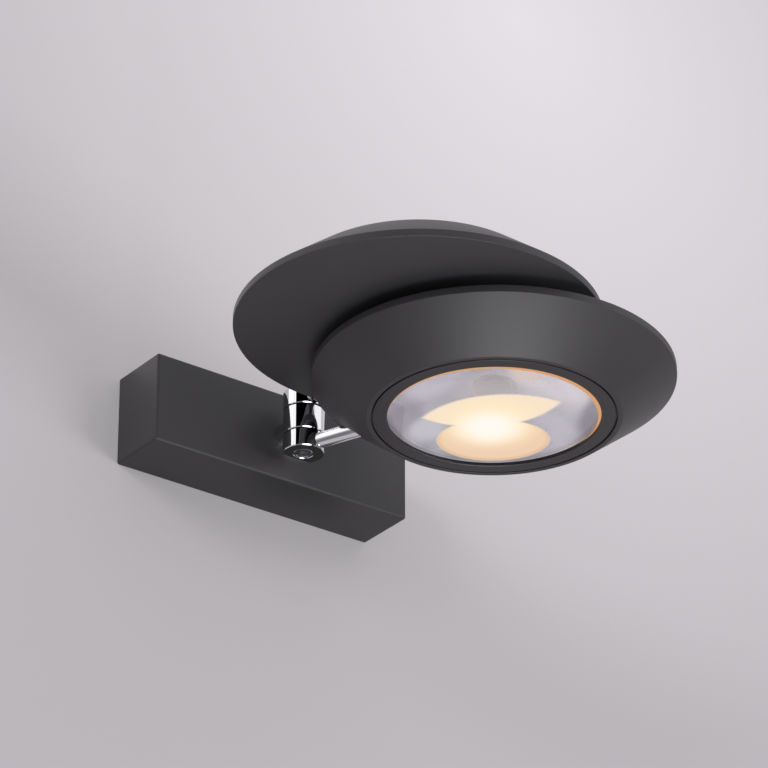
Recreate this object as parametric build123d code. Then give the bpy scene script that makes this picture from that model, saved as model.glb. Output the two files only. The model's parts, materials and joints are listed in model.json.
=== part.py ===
"""Pivoting up-and-down wall light: a box canopy, a three-part knuckle and two swivelling disc heads.

Millimetres. +Z is up, +X runs along the wall to the right, and the wall's surface is the plane Y = 0.
The light stands out from the wall towards -Y. The origin is the middle of the wall bracket's back.
Each head is drawn facing up and pointing straight out. The lower one is mirrored, then both are turned.
"""
from build123d import *
from math import asin, atan2, copysign, cos, sin, sqrt
import os

# Canopy: the box on the wall.
CANOPY_WIDTH = 150.0
CANOPY_HEIGHT = 47.0
CANOPY_DEPTH = 34.0
CANOPY_WALL = 2.0
CANOPY_EDGE = 1.2
CANOPY_SLIP = 0.2                # bracket inside canopy, all round

TOLERANCE = 0.01                 # for picking edges by where they lie

# Wall bracket: a folded steel plate inside the canopy.
BRACKET_THICKNESS = 2.0
TAB_SPREAD = 80.0                # between the middles of the left and right tabs
TAB_WIDTH = 16.0
TAB_LENGTH = 16.0
TAB_SCREW_SETBACK = 9.0          # from the wall to the canopy screws
WALL_SLOT_SPREAD = 122.0
WALL_SLOT_LENGTH = 9.0
WALL_SLOT_WIDTH = 4.5
CABLE_HOLE_RADIUS = 7.0
GROMMET_BORE = 4.5
GROMMET_FLANGE = 9.0
GROMMET_FLANGE_THICKNESS = 2.0

# Machine screws of the canopy and the earth terminal.
CANOPY_SCREW_RADIUS = 1.5
CANOPY_SCREW_HEAD = 2.9
CANOPY_SCREW_HEAD_DEPTH = 1.4
CANOPY_SCREW_LENGTH = 6.0
EARTH_SCREW_RADIUS = 2.0
EARTH_SCREW_HEAD = 3.8
EARTH_SCREW_HEAD_HEIGHT = 2.4
EARTH_SCREW_X = 50.0
EARTH_SCREW_Z = -9.0
EARTH_CUP_THICKNESS = 1.0
EARTH_CUP_RADIUS = 5.0

# Driver and terminal block, both seated on the bracket.
DRIVER_LENGTH = 42.0
DRIVER_HEIGHT = 32.0
DRIVER_DEPTH = 20.0
DRIVER_X = -32.0
DRIVER_EDGE = 1.5
DRIVER_LID = 3.0
DRIVER_SLOT_WIDTH = 3.0
DRIVER_SLOT_LENGTH = 10.0
DRIVER_SLOT_MARGIN = 1.5         # between a wire slot and the lid's end
TERMINAL_LENGTH = 22.0
TERMINAL_HEIGHT = 16.0
TERMINAL_DEPTH = 12.0
TERMINAL_X = 28.0
TERMINAL_WAYS = 3
TERMINAL_BORE = 1.7
TERMINAL_SCREW_WELL = 1.6

# Knuckle: a fixed middle between two hubs, all on one upright bolt.
KNUCKLE_STANDOFF = 17.0          # canopy face to the knuckle's axis
KNUCKLE_RADIUS = 10.25
MIDDLE_HEIGHT = 13.0
HUB_HEIGHT = 9.4
JOINT_GAP = 0.5                  # middle to hub
KNUCKLE_EDGE = 0.35
CHAMBER_RADIUS = 7.0             # the wires cross the joints in here
HUB_FLOOR = 2.2
COUNTERBORE_RADIUS = 4.95
COUNTERBORE_DEPTH = 3.4
FRICTION_WASHER_THICKNESS = 0.5
FRICTION_WASHER_RECESS = 0.3
FRICTION_WASHER_WIDTH = 2.0
FRICTION_WASHER_SLIP = 0.2
BOLT_RADIUS = 2.5
BOLT_HEAD_RADIUS = 4.6
BOLT_HEAD_SETBACK = 0.4
BOLT_HEAD_GAP = 0.3
BOLT_SOCKET = 4.0                # across flats
BOLT_SOCKET_DEPTH = 1.6
BOLT_EDGE = 0.4
NUT_ACROSS_FLATS = 8.0
RUNNING_FIT = 0.05               # hub on bolt, radial
THREAD_FIT = 0.02                # screwed pieces, radial

# Stem: the hollow nipple that carries the knuckle.
STEM_RADIUS = 6.0
STEM_THREAD_RADIUS = 5.0
STEM_SPIGOT_RADIUS = 4.0
STEM_BORE = 3.0
STEM_HOLE_SLIP = 0.2
STEM_NUT_ACROSS_FLATS = 14.0
STEM_NUT_THICKNESS = 4.0
STEM_WASHER_RADIUS = 9.0
STEM_WASHER_THICKNESS = 1.0
STEM_TAIL = 2.0                  # thread past the nut
BACKING_WIDTH = 40.0
BACKING_HEIGHT = 38.0
BACKING_THICKNESS = 2.0

# Arms.
ARM_REACH = 108.5                # knuckle's axis to the head's axis
ARM_RADIUS = 4.0
ARM_WALL = 1.0
ARM_SEAT_RADIUS = 6.5            # where the arm bottoms in its hub
ARM_NUT_ACROSS_FLATS = 11.0
ARM_NUT_THICKNESS = 3.0
ARM_TAIL = 1.0                   # thread past the nut

# Heads.
HEAD_GAP = 5.5                   # between the two flat faces
HEAD_RADIUS = 87.5
HEAD_HEIGHT = 23.8
RIM_HEIGHT = 3.7
PLATE_THICKNESS = 2.0
NOSE_EDGE = 0.9
RIM_EDGE = 0.4
SHELL_WALL = 2.0
RIM_LAND = 2.5                   # width of the rim where the plate seats
SPIGOT_HEIGHT = 1.0
SPIGOT_WIDTH = 3.0
SPIGOT_FIT = 0.05
APERTURE_RADIUS = 51.0
RING_WIDTH = 6.9                 # aperture to the ring's outside
RING_LIP = 1.1
RING_SKIRT = 3.7
RING_BEVEL = 0.4
RING_FIT = 0.05
GROOVE_WIDTH = 0.9
GROOVE_DEPTH = 1.5
NOSE_LAND = 2.4                  # groove to the nose's rounded edge
LENS_SLIP = 0.2
LENS_EDGE_THICKNESS = 3.0
LENS_DOME = 1.0                  # the outer face stands this much prouder at its middle
LENS_BELLY = 4.0                 # and the inner face this much deeper
SHELF_OVERHANG = 1.0             # how far the shelf reaches in past the aperture
SHELF_THICKNESS = 2.0
SLEEVE_WALL = 2.0
SLEEVE_DEPTH = 4.0               # how far the sleeve hangs free of the cone
GASKET_THICKNESS = 0.8
GASKET_GAP = 0.2
BOSS_RADIUS = 5.5
BOSS_NUT_CLEARANCE = 0.5         # arm nut's corners to the cone

# Light engine.
HEATSINK_RADIUS = 42.0
HEATSINK_BASE = 3.0
FIN_COUNT = 20
FIN_THICKNESS = 1.6
FIN_HEIGHT = 3.6
FIN_INNER = 20.0
PEDESTAL_RADIUS = 18.0
PEDESTAL_HEIGHT = 1.0
BOARD_RADIUS = 16.0
BOARD_THICKNESS = 1.6
CHIP_RADIUS = 8.5
CHIP_THICKNESS = 0.9
REFLECTOR_THROAT = 11.0
REFLECTOR_WALL = 0.8
REFLECTOR_FLANGE = 1.4           # what rests on the shelf

# How the heads rest, in degrees from straight out, anticlockwise seen from above.
UPPER_REST = -5.5
LOWER_REST = 21.5

# Places worked out from the sizes above.
FACE_Y = -CANOPY_DEPTH
AXIS_Y = FACE_Y - KNUCKLE_STANDOFF
BRACKET_FACE_Y = -BRACKET_THICKNESS
BRACKET_WIDTH = CANOPY_WIDTH - 2 * (CANOPY_WALL + CANOPY_SLIP)
BRACKET_HEIGHT = CANOPY_HEIGHT - 2 * (CANOPY_WALL + CANOPY_SLIP)
MIDDLE_TOP = MIDDLE_HEIGHT / 2
HUB_INNER = MIDDLE_TOP + JOINT_GAP
HUB_OUTER = HUB_INNER + HUB_HEIGHT
HUB_BORE = BOLT_RADIUS + RUNNING_FIT
ARM_Z = HUB_INNER + HUB_HEIGHT / 2
FACE_Z = HEAD_GAP / 2
PLATE_TOP = FACE_Z + PLATE_THICKNESS
RIM_TOP = FACE_Z + RIM_HEIGHT
NOSE_Z = FACE_Z + HEAD_HEIGHT
RING_RADIUS = APERTURE_RADIUS + RING_WIDTH
NOSE_RADIUS = RING_RADIUS + GROOVE_WIDTH + NOSE_LAND
SHELF_RADIUS = APERTURE_RADIUS - SHELF_OVERHANG
RIM_BORE = HEAD_RADIUS - RIM_LAND
SPIGOT_TOP = PLATE_TOP + SPIGOT_HEIGHT
LENS_TOP = NOSE_Z - RING_LIP
LENS_BOTTOM = LENS_TOP - LENS_EDGE_THICKNESS
SHELF_TOP = LENS_BOTTOM - GASKET_THICKNESS
SHELF_BOTTOM = SHELF_TOP - SHELF_THICKNESS
RING_BORE = RING_RADIUS + RING_FIT
SKIRT_BORE = RING_RADIUS - RING_SKIRT
LENS_RADIUS = SKIRT_BORE - LENS_SLIP
HEATSINK_TOP = PLATE_TOP + HEATSINK_BASE
BOARD_SEAT = HEATSINK_TOP + PEDESTAL_HEIGHT
BOARD_TOP = BOARD_SEAT + BOARD_THICKNESS
CHIP_TOP = BOARD_TOP + CHIP_THICKNESS
ARM_NUT_TOP = ARM_Z + ARM_NUT_ACROSS_FLATS / sqrt(3)


def turned(*outline):
    """A round piece about Z, from the (radius, height) points round its half section."""
    edge = Polyline(*[(radius, 0, height) for radius, height in outline], close=True)
    return revolve(make_face(edge), Axis.Z)


def rod(radius, low, high):
    """An upright round bar from one height to another."""
    return Pos(0, 0, low) * extrude(Circle(radius), high - low)


def tube(outer, bore, low, high):
    """An upright pipe or washer."""
    return rod(outer, low, high) - rod(bore, low, high)


def along_y(piece):
    """Lay an upright piece down, so that its +Z points away from the wall."""
    return Rot(90, 0, 0) * piece


def hexagon(across_flats, low, high):
    """An upright hexagonal bar with flats to the left and right."""
    flats = RegularPolygon(across_flats / 2, 6, major_radius=False)
    return Pos(0, 0, low) * extrude(flats, high - low)


def block(width, depth, height, x, y, z):
    """A box by its middle in X and Z and by its face nearest the wall."""
    return Pos(x, y - depth / 2, z) * Box(width, depth, height)


def cone_offset(distance):
    """Two points of the cone's half section, moved square to it into the head."""
    slope = atan2(NOSE_Z - RIM_TOP, HEAD_RADIUS - NOSE_RADIUS)
    shift_radius = distance * sin(slope)
    shift_height = distance * cos(slope)
    low = (HEAD_RADIUS - shift_radius, RIM_TOP - shift_height)
    high = (NOSE_RADIUS - shift_radius, NOSE_Z - shift_height)
    return low, high


def cone_radius(height, distance):
    """Radius of the cone's outer or inner face at a height."""
    low, high = cone_offset(distance)
    return low[0] + (high[0] - low[0]) * (height - low[1]) / (high[1] - low[1])


BOSS_INNER = cone_radius(ARM_NUT_TOP + BOSS_NUT_CLEARANCE, SHELL_WALL)


# ---------------------------------------------------------------- what stays on the wall

def make_wall_bracket():
    """Plate with a cable hole, two slots for the wall screws and four folded tabs."""
    plate = block(BRACKET_WIDTH, BRACKET_THICKNESS, BRACKET_HEIGHT, 0, 0, 0)
    tab_z = (BRACKET_HEIGHT - BRACKET_THICKNESS) / 2
    tab_depth = BRACKET_THICKNESS + TAB_LENGTH
    for side in (-1, 1):
        tab_x = side * TAB_SPREAD / 2
        for level in (-1, 1):
            plate += block(TAB_WIDTH, tab_depth, BRACKET_THICKNESS, tab_x, 0, level * tab_z)
        hole = rod(CANOPY_SCREW_RADIUS + THREAD_FIT, 0, CANOPY_HEIGHT / 2)
        plate -= Pos(tab_x, -TAB_SCREW_SETBACK, 0) * hole
        slot = extrude(SlotOverall(WALL_SLOT_LENGTH, WALL_SLOT_WIDTH), BRACKET_THICKNESS)
        plate -= Pos(side * WALL_SLOT_SPREAD / 2, 0, 0) * along_y(slot)
    plate -= along_y(rod(CABLE_HOLE_RADIUS, 0, BRACKET_THICKNESS))
    earth_hole = rod(EARTH_SCREW_RADIUS + THREAD_FIT, 0, BRACKET_THICKNESS)
    return plate - Pos(EARTH_SCREW_X, 0, EARTH_SCREW_Z) * along_y(earth_hole)


def make_cable_grommet():
    """Rubber bush that lines the cable hole, flush with the wall."""
    neck = tube(CABLE_HOLE_RADIUS - THREAD_FIT, GROMMET_BORE, 0, BRACKET_THICKNESS)
    flange_end = BRACKET_THICKNESS + GROMMET_FLANGE_THICKNESS
    flange = tube(GROMMET_FLANGE, GROMMET_BORE, BRACKET_THICKNESS, flange_end)
    return along_y(neck + flange)


def make_canopy():
    """Die-cast box, open at the wall, with softened outer edges."""
    shell = block(CANOPY_WIDTH, CANOPY_DEPTH, CANOPY_HEIGHT, 0, 0, 0)
    shell = fillet(shell.edges().filter_by(lambda edge: edge.center().Y < -TOLERANCE), CANOPY_EDGE)
    room_width = CANOPY_WIDTH - 2 * CANOPY_WALL
    room_height = CANOPY_HEIGHT - 2 * CANOPY_WALL
    shell -= block(room_width, CANOPY_DEPTH - CANOPY_WALL, room_height, 0, 0, 0)
    stem_hole = rod(STEM_THREAD_RADIUS + STEM_HOLE_SLIP, 0, CANOPY_DEPTH)
    shell -= along_y(stem_hole)
    for side in (-1, 1):
        shell -= Pos(side * TAB_SPREAD / 2, -TAB_SCREW_SETBACK, 0) * canopy_screw(THREAD_FIT)
    return shell


def canopy_screw(slip):
    """One countersunk screw, upright through the canopy's top wall and a tab; slip widens it."""
    head_z = CANOPY_HEIGHT / 2
    seat_z = head_z - CANOPY_SCREW_HEAD_DEPTH
    shank = CANOPY_SCREW_RADIUS + slip
    tip_z = head_z - CANOPY_SCREW_LENGTH
    head = CANOPY_SCREW_HEAD + slip
    return turned((0, tip_z), (shank, tip_z), (shank, seat_z), (head, head_z), (0, head_z))


def make_canopy_screws():
    """The two screws that hold the canopy on its bracket."""
    places = [Pos(side * TAB_SPREAD / 2, -TAB_SCREW_SETBACK, 0) for side in (-1, 1)]
    return Compound([place * canopy_screw(0) for place in places])


def make_driver_case():
    """Case of the driver, potted solid, with rounded corners."""
    x, depth = DRIVER_X, DRIVER_DEPTH - DRIVER_LID
    case = block(DRIVER_LENGTH, depth, DRIVER_HEIGHT, x, BRACKET_FACE_Y, 0)
    return fillet(case.edges().filter_by(Axis.Y), DRIVER_EDGE)


def make_driver_lid():
    """Lid of the driver, with the two slots that its wires leave by."""
    x, face = DRIVER_X, BRACKET_FACE_Y - DRIVER_DEPTH + DRIVER_LID
    lid = block(DRIVER_LENGTH, DRIVER_LID, DRIVER_HEIGHT, x, face, 0)
    lid = fillet(lid.edges().filter_by(Axis.Y), DRIVER_EDGE)
    slot_reach = (DRIVER_LENGTH - DRIVER_SLOT_WIDTH) / 2 - DRIVER_SLOT_MARGIN
    for side in (-1, 1):
        lid -= block(DRIVER_SLOT_WIDTH, DRIVER_LID, DRIVER_SLOT_LENGTH, x + side * slot_reach, face, 0)
    return lid


def make_terminal_block():
    """Screw terminal block: one wire bore and one screw well for each way."""
    piece = block(TERMINAL_LENGTH, TERMINAL_DEPTH, TERMINAL_HEIGHT, TERMINAL_X, BRACKET_FACE_Y, 0)
    pitch = TERMINAL_LENGTH / TERMINAL_WAYS
    middle_y = BRACKET_FACE_Y - TERMINAL_DEPTH / 2
    for way in range(TERMINAL_WAYS):
        x = TERMINAL_X + (way - (TERMINAL_WAYS - 1) / 2) * pitch
        bore = rod(TERMINAL_BORE, -TERMINAL_HEIGHT / 2, TERMINAL_HEIGHT / 2)
        piece -= Pos(x, middle_y, 0) * bore
        well = rod(TERMINAL_SCREW_WELL, TERMINAL_DEPTH / 2, TERMINAL_DEPTH)
        piece -= Pos(x, BRACKET_FACE_Y, 0) * along_y(well)
    return piece


def make_earth_screw():
    """Pan-head screw in the bracket, with its cup washer."""
    cup_end = BRACKET_THICKNESS + EARTH_CUP_THICKNESS
    head_end = cup_end + EARTH_SCREW_HEAD_HEIGHT
    screw = turned(
        (0, 0),
        (EARTH_SCREW_RADIUS, 0),
        (EARTH_SCREW_RADIUS, BRACKET_THICKNESS),
        (EARTH_CUP_RADIUS, BRACKET_THICKNESS),
        (EARTH_CUP_RADIUS, cup_end),
        (EARTH_SCREW_HEAD, cup_end),
        (EARTH_SCREW_HEAD, head_end),
        (0, head_end),
    )
    return Pos(EARTH_SCREW_X, 0, EARTH_SCREW_Z) * along_y(screw)


# ---------------------------------------------------------------- stem

BACKING_REACH = CANOPY_DEPTH - CANOPY_WALL - BACKING_THICKNESS
WASHER_REACH = BACKING_REACH - STEM_WASHER_THICKNESS
NUT_REACH = WASHER_REACH - STEM_NUT_THICKNESS
STEM_END_REACH = NUT_REACH - STEM_TAIL


def make_stem():
    """Hollow nipple: spigot in the knuckle, plain collar in the open, thread through the canopy."""
    thread = rod(STEM_THREAD_RADIUS, STEM_END_REACH, CANOPY_DEPTH)
    collar = rod(STEM_RADIUS, CANOPY_DEPTH, -AXIS_Y)
    spigot = rod(STEM_SPIGOT_RADIUS, CANOPY_DEPTH, -AXIS_Y - CHAMBER_RADIUS)
    knuckle = Pos(0, AXIS_Y, 0) * rod(KNUCKLE_RADIUS, -CANOPY_HEIGHT, CANOPY_HEIGHT)
    stem = along_y(thread) + (along_y(collar) - knuckle) + along_y(spigot)
    return stem - along_y(rod(STEM_BORE, 0, -AXIS_Y))


def make_stem_backing():
    """Stiffening plate inside the canopy's front wall."""
    plate = block(BACKING_WIDTH, BACKING_THICKNESS, BACKING_HEIGHT, 0, -BACKING_REACH, 0)
    return plate - along_y(rod(STEM_THREAD_RADIUS + STEM_HOLE_SLIP, 0, CANOPY_DEPTH))


def make_stem_washer():
    """Toothless lock washer under the stem's nut."""
    bore = STEM_THREAD_RADIUS + STEM_HOLE_SLIP
    return along_y(tube(STEM_WASHER_RADIUS, bore, WASHER_REACH, BACKING_REACH))


def make_stem_nut():
    """Hexagonal nut that pulls the stem tight."""
    nut = hexagon(STEM_NUT_ACROSS_FLATS, NUT_REACH, WASHER_REACH)
    return along_y(nut - rod(STEM_THREAD_RADIUS + THREAD_FIT, NUT_REACH, WASHER_REACH))


# ---------------------------------------------------------------- knuckle

def knuckle_place(piece, angle=0.0):
    """Set a piece drawn about the knuckle's axis in its place, turned by an angle."""
    return Pos(0, AXIS_Y, 0) * Rot(0, 0, angle) * piece


def make_knuckle_middle():
    """Fixed middle of the barrel: wire chamber, washer recesses and the stem's hole."""
    middle = rod(KNUCKLE_RADIUS, -MIDDLE_TOP, MIDDLE_TOP)
    middle = chamfer(middle.edges().filter_by(GeomType.CIRCLE), KNUCKLE_EDGE)
    middle -= rod(CHAMBER_RADIUS, -MIDDLE_TOP, MIDDLE_TOP)
    recess = CHAMBER_RADIUS + FRICTION_WASHER_WIDTH + FRICTION_WASHER_SLIP
    middle -= rod(recess, MIDDLE_TOP - FRICTION_WASHER_RECESS, MIDDLE_TOP)
    middle -= rod(recess, -MIDDLE_TOP, FRICTION_WASHER_RECESS - MIDDLE_TOP)
    spigot = Rot(-90, 0, 0) * rod(STEM_SPIGOT_RADIUS + THREAD_FIT, 0, KNUCKLE_RADIUS)
    return knuckle_place(middle - spigot)


def make_friction_washer(level):
    """Nylon washer that lets a hub turn stiffly; level is 1 above the middle and -1 below it."""
    low = MIDDLE_TOP - FRICTION_WASHER_RECESS
    outer = CHAMBER_RADIUS + FRICTION_WASHER_WIDTH
    washer = tube(outer, CHAMBER_RADIUS, low, low + FRICTION_WASHER_THICKNESS)
    return knuckle_place(washer if level > 0 else mirror(washer, Plane.XY))


BOLT_HEAD_LOW = BOLT_HEAD_SETBACK - HUB_OUTER
BOLT_HEAD_HIGH = COUNTERBORE_DEPTH - HUB_OUTER - BOLT_HEAD_GAP


def make_knuckle_bolt():
    """Socket-head bolt up through the whole knuckle, its head sunk in the lower hub."""
    head = rod(BOLT_HEAD_RADIUS, BOLT_HEAD_LOW, BOLT_HEAD_HIGH)
    head = chamfer(head.edges().group_by(Axis.Z)[0], BOLT_EDGE)
    shank = rod(BOLT_RADIUS, BOLT_HEAD_HIGH, -BOLT_HEAD_LOW)
    socket = hexagon(BOLT_SOCKET, BOLT_HEAD_LOW, BOLT_HEAD_LOW + BOLT_SOCKET_DEPTH)
    return knuckle_place(head + shank - socket)


def make_knuckle_nut():
    """Low nut on the bolt's upper end, sunk in the upper hub."""
    nut = hexagon(NUT_ACROSS_FLATS, -BOLT_HEAD_HIGH, -BOLT_HEAD_LOW)
    return knuckle_place(nut - rod(BOLT_RADIUS + THREAD_FIT, -BOLT_HEAD_HIGH, -BOLT_HEAD_LOW))


# ---------------------------------------------------------------- one head, facing up and pointing out

def arm_line(piece):
    """Lay an upright piece along the arm, with its +Z pointing from the knuckle to the head."""
    return Pos(0, 0, ARM_Z) * along_y(piece)


def head_place(piece):
    """Move a piece drawn about Z to the head's own axis."""
    return Pos(0, -ARM_REACH, 0) * piece


def make_hub():
    """End of the barrel that turns on the bolt, with the arm's seat and a wire chamber."""
    hub = rod(KNUCKLE_RADIUS, HUB_INNER, HUB_OUTER)
    hub = chamfer(hub.edges().filter_by(GeomType.CIRCLE), KNUCKLE_EDGE)
    hub -= rod(COUNTERBORE_RADIUS, HUB_OUTER - COUNTERBORE_DEPTH, HUB_OUTER)
    hub -= rod(HUB_BORE, HUB_INNER, HUB_OUTER)
    hub -= rod(CHAMBER_RADIUS, HUB_INNER, HUB_OUTER - COUNTERBORE_DEPTH - HUB_FLOOR)
    return hub - arm_line(rod(ARM_RADIUS + THREAD_FIT, ARM_SEAT_RADIUS, KNUCKLE_RADIUS))


def make_arm():
    """Straight hollow arm from the hub into the head."""
    end = ARM_REACH - BOSS_INNER + ARM_NUT_THICKNESS + ARM_TAIL
    return arm_line(tube(ARM_RADIUS, ARM_RADIUS - ARM_WALL, ARM_SEAT_RADIUS, end))


def make_arm_nut():
    """Nut inside the head that holds the arm against its boss."""
    low = ARM_REACH - BOSS_INNER
    nut = hexagon(ARM_NUT_ACROSS_FLATS, low, low + ARM_NUT_THICKNESS)
    nut -= rod(ARM_RADIUS + THREAD_FIT, low, low + ARM_NUT_THICKNESS)
    return arm_line(Rot(0, 0, 90) * nut)


def make_housing():
    """Conical shell: rim band, cone, nose with the ring's groove, lens shelf and arm boss."""
    inner_low = (cone_radius(SPIGOT_TOP, SHELL_WALL), SPIGOT_TOP)
    sleeve_top = SHELF_BOTTOM + SLEEVE_DEPTH
    inner_high = (cone_radius(sleeve_top, SHELL_WALL), sleeve_top)
    sleeve = RING_BORE + SLEEVE_WALL
    shell = turned(
        (RIM_BORE, PLATE_TOP),
        (HEAD_RADIUS, PLATE_TOP),
        (HEAD_RADIUS, RIM_TOP),
        (NOSE_RADIUS, NOSE_Z),
        (RING_RADIUS + GROOVE_WIDTH, NOSE_Z),
        (RING_RADIUS + GROOVE_WIDTH, NOSE_Z - GROOVE_DEPTH),
        (RING_BORE, NOSE_Z - GROOVE_DEPTH),
        (RING_BORE, SHELF_TOP),
        (SHELF_RADIUS, SHELF_TOP),
        (SHELF_RADIUS, SHELF_BOTTOM),
        (sleeve, SHELF_BOTTOM),
        (sleeve, sleeve_top),
        inner_high,
        inner_low,
        (RIM_BORE, SPIGOT_TOP),
    )
    shell = fillet(rim_edges(shell, NOSE_RADIUS, NOSE_Z), NOSE_EDGE)
    shell = fillet(rim_edges(shell, HEAD_RADIUS, RIM_TOP), RIM_EDGE)
    envelope = turned(
        (0, PLATE_TOP),
        (HEAD_RADIUS, PLATE_TOP),
        (HEAD_RADIUS, RIM_TOP),
        (NOSE_RADIUS, NOSE_Z),
        (0, NOSE_Z),
    )
    boss = arm_line(rod(BOSS_RADIUS, ARM_REACH - HEAD_RADIUS, ARM_REACH - BOSS_INNER))
    shell = head_place(shell) + (boss & head_place(envelope))
    return shell - arm_line(rod(ARM_RADIUS + THREAD_FIT, 0, ARM_REACH - BOSS_INNER))


def rim_edges(piece, radius, height):
    """The circular edge of a turned piece at a radius and height."""
    def matches(edge):
        return abs(edge.radius - radius) < TOLERANCE and abs(edge.center().Z - height) < TOLERANCE
    return piece.edges().filter_by(GeomType.CIRCLE).filter_by(matches)


def make_back_plate():
    """Flat face of the head, with the low ring that centres it in the housing."""
    spigot = RIM_BORE - SPIGOT_FIT
    plate = rod(HEAD_RADIUS, FACE_Z, PLATE_TOP)
    plate = fillet(rim_edges(plate, HEAD_RADIUS, FACE_Z), RIM_EDGE)
    return head_place(plate + tube(spigot, spigot - SPIGOT_WIDTH, PLATE_TOP, SPIGOT_TOP - SPIGOT_FIT))


def make_lens_ring():
    """Screwed ring that clamps the lens, with a bevel round the opening."""
    return head_place(turned(
        (APERTURE_RADIUS, LENS_TOP),
        (APERTURE_RADIUS, NOSE_Z - RING_BEVEL),
        (APERTURE_RADIUS + RING_BEVEL, NOSE_Z),
        (RING_RADIUS, NOSE_Z),
        (RING_RADIUS, SHELF_TOP),
        (SKIRT_BORE, SHELF_TOP),
        (SKIRT_BORE, LENS_TOP),
    ))


def cap_arc(radius, height, rise):
    """Arc of a shallow dome's half section, from its rim to its crown on the axis."""
    ball = (radius ** 2 + rise ** 2) / (2 * abs(rise))
    half_angle = asin(radius / ball) / 2
    halfway_rise = abs(rise) - ball * (1 - cos(half_angle))
    halfway = (ball * sin(half_angle), 0, height + copysign(halfway_rise, rise))
    return ThreePointArc((radius, 0, height), halfway, (0, 0, height + rise))


def make_lens():
    """Glass lens, convex on both faces inside a flat edge that the ring clamps."""
    land = APERTURE_RADIUS - RING_BEVEL
    belly = SHELF_RADIUS - GASKET_GAP - REFLECTOR_WALL
    upper = cap_arc(land, LENS_TOP, LENS_DOME)
    lower = cap_arc(belly, LENS_BOTTOM, -LENS_BELLY)
    edge = Polyline(
        (belly, 0, LENS_BOTTOM),
        (LENS_RADIUS, 0, LENS_BOTTOM),
        (LENS_RADIUS, 0, LENS_TOP),
        (land, 0, LENS_TOP),
    )
    axis = Line((0, 0, LENS_TOP + LENS_DOME), (0, 0, LENS_BOTTOM - LENS_BELLY))
    return head_place(revolve(make_face([upper, axis, lower, edge]), Axis.Z))


def make_gasket():
    """Silicone ring between the lens and its shelf."""
    inner = SHELF_RADIUS + REFLECTOR_FLANGE + GASKET_GAP
    return head_place(tube(LENS_RADIUS, inner, SHELF_TOP, LENS_BOTTOM))


def make_reflector():
    """Shallow bowl from the light source to the shelf, with the flange that rests there."""
    mouth = SHELF_RADIUS - GASKET_GAP
    inner = mouth - REFLECTOR_WALL
    flange = SHELF_RADIUS + REFLECTOR_FLANGE
    return head_place(turned(
        (REFLECTOR_THROAT, BOARD_TOP),
        (REFLECTOR_THROAT + REFLECTOR_WALL, BOARD_TOP),
        (mouth, SHELF_TOP - REFLECTOR_WALL),
        (mouth, SHELF_TOP),
        (flange, SHELF_TOP),
        (flange, LENS_BOTTOM),
        (inner, LENS_BOTTOM),
        (inner, SHELF_TOP - REFLECTOR_WALL),
        (REFLECTOR_THROAT, BOARD_TOP + REFLECTOR_WALL),
    ))


def make_heatsink():
    """Finned spreader on the back plate, with a pedestal for the light source."""
    sink = rod(HEATSINK_RADIUS, PLATE_TOP, HEATSINK_TOP) + rod(PEDESTAL_RADIUS, HEATSINK_TOP, BOARD_SEAT)
    fin_length = HEATSINK_RADIUS - FIN_INNER
    fin_middle = (HEATSINK_RADIUS + FIN_INNER) / 2
    fin = Pos(fin_middle, 0, HEATSINK_TOP + FIN_HEIGHT / 2) * Box(fin_length, FIN_THICKNESS, FIN_HEIGHT)
    fins = [Rot(0, 0, number * 360 / FIN_COUNT) * fin for number in range(FIN_COUNT)]
    bound = rod(HEATSINK_RADIUS, PLATE_TOP, HEATSINK_TOP + FIN_HEIGHT)
    return head_place((sink + fins) & bound)


def make_led_board():
    """Metal-core board of the light source."""
    return head_place(rod(BOARD_RADIUS, BOARD_SEAT, BOARD_TOP))


def make_led_chip():
    """Round light source on the board."""
    return head_place(rod(CHIP_RADIUS, BOARD_TOP, CHIP_TOP))


HEAD_PIECES = {
    "hub": make_hub,
    "arm": make_arm,
    "arm_nut": make_arm_nut,
    "housing": make_housing,
    "back_plate": make_back_plate,
    "lens_ring": make_lens_ring,
    "lens": make_lens,
    "lens_gasket": make_gasket,
    "reflector": make_reflector,
    "heatsink": make_heatsink,
    "led_board": make_led_board,
    "led_chip": make_led_chip,
}


def make_pieces():
    """Every piece by name, in its place at rest."""
    pieces = {
        "wall_bracket": make_wall_bracket(),
        "cable_grommet": make_cable_grommet(),
        "canopy": make_canopy(),
        "canopy_screws": make_canopy_screws(),
        "driver_case": make_driver_case(),
        "driver_lid": make_driver_lid(),
        "terminal_block": make_terminal_block(),
        "earth_screw": make_earth_screw(),
        "stem": make_stem(),
        "stem_backing": make_stem_backing(),
        "stem_washer": make_stem_washer(),
        "stem_nut": make_stem_nut(),
        "knuckle_middle": make_knuckle_middle(),
        "friction_washer_upper": make_friction_washer(1),
        "friction_washer_lower": make_friction_washer(-1),
        "knuckle_bolt": make_knuckle_bolt(),
        "knuckle_nut": make_knuckle_nut(),
    }
    for name, make in HEAD_PIECES.items():
        piece = make()
        pieces["upper_" + name] = knuckle_place(piece, UPPER_REST)
        pieces["lower_" + name] = knuckle_place(mirror(piece, Plane.XY), LOWER_REST)
    return pieces


os.makedirs("parts", exist_ok=True)
for name, piece in make_pieces().items():
    export_step(piece, os.path.join("parts", name + ".step"))
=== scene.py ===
"""Up-and-down wall light: finished pieces, materials and studio, as an add-on that runs as a script."""
import json
import math
from contextlib import contextmanager

import bmesh
import bpy
from mathutils import Matrix, Vector


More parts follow.
